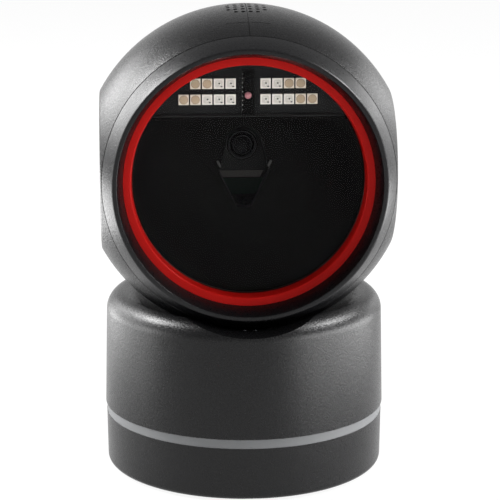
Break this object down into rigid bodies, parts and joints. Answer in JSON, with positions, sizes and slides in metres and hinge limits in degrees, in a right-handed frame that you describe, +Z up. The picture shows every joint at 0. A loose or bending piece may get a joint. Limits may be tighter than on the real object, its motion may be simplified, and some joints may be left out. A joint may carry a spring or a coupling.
{
  "type": "presentation barcode scanner",
  "caption": "Hands-free barcode scanner: ball-shaped tilting head with a round dark window and red ring, seated in a bowl on a round weighted base.",
  "frame": {"origin": "centre of the underside of the round base, on the surface it stands on", "axes": "+Z up, -Y towards the reading window, +X to the right for someone facing the window"},
  "size_m": [0.0878, 0.0884, 0.1439],
  "materials": {
    "housing_black": "fine grained satin black moulding",
    "trim_grey": "satin mid grey moulding",
    "tray_black": "fine grained satin black moulding",
    "rubber_black": "matte rubber",
    "zinc_steel": "plain zinc plated steel",
    "screw_steel": "bright zinc plate",
    "board_green": "solder mask over glass laminate",
    "board_black": "black solder mask over glass laminate",
    "chip_black": "matte moulding compound",
    "contact_gold": "gold flash",
    "clear_pipe": "clear moulding",
    "accent_red": "semi gloss red moulding",
    "bezel_black": "fine grained satin black moulding",
    "window_dark": "dark tinted polished window",
    "liner_black": "dull black inner moulding",
    "frame_black": "plain dark inner moulding",
    "led_white": "pale package with a small clear dome",
    "led_amber": "tan phosphor package",
    "lens_dark": "coated lens",
    "lens_pink": "pale pink lens",
    "bar_grey": "dull grey bar",
    "bush_bronze": "sintered bronze"
  },
  "bodies": {
    "base": {"base_housing": "housing_black", "trim_ring": "trim_grey", "lower_housing": "tray_black", "base_plate": "tray_black", "foot_ring": "rubber_black", "ballast_plate": "zinc_steel", "ballast_screws": "screw_steel", "interface_board": "board_green", "board_components": "chip_black", "board_screws": "screw_steel", "cable_socket": "chip_black", "socket_contacts": "contact_gold", "base_screws": "screw_steel", "light_pipes": "clear_pipe", "neck_post": "frame_black", "neck_screws": "screw_steel", "tilt_yoke": "zinc_steel", "yoke_screws": "screw_steel", "pivot_bushes": "bush_bronze", "friction_washers": "screw_steel"},
    "head": {"head_shell_left": "housing_black", "head_shell_right": "housing_black", "shell_screws": "screw_steel", "front_bezel": "bezel_black", "accent_ring": "accent_red", "window": "window_dark", "window_gasket": "rubber_black", "head_chassis": "frame_black", "bezel_screws": "screw_steel", "pivot_pins": "screw_steel", "light_baffle": "liner_black", "led_board": "board_black", "white_leds": "led_white", "amber_leds": "led_amber", "sensor_holder": "liner_black", "aimer_lens": "lens_pink", "proximity_lens": "lens_dark", "imager_housing": "frame_black", "imager_barrel": "liner_black", "imager_lens": "lens_dark", "imager_bracket": "bar_grey", "hood_hooks": "liner_black", "imager_screws": "screw_steel", "decode_board": "board_green", "decode_components": "chip_black", "decode_screws": "screw_steel", "speaker": "chip_black", "speaker_gasket": "rubber_black"}
  },
  "joints": [
    {"name": "head_tilt", "type": "hinge", "parent": "base", "child": "head", "pos_m": [0, -0.005, 0.094], "axis": [1, 0, 0], "range_deg": [-25, 15]}
  ]
}
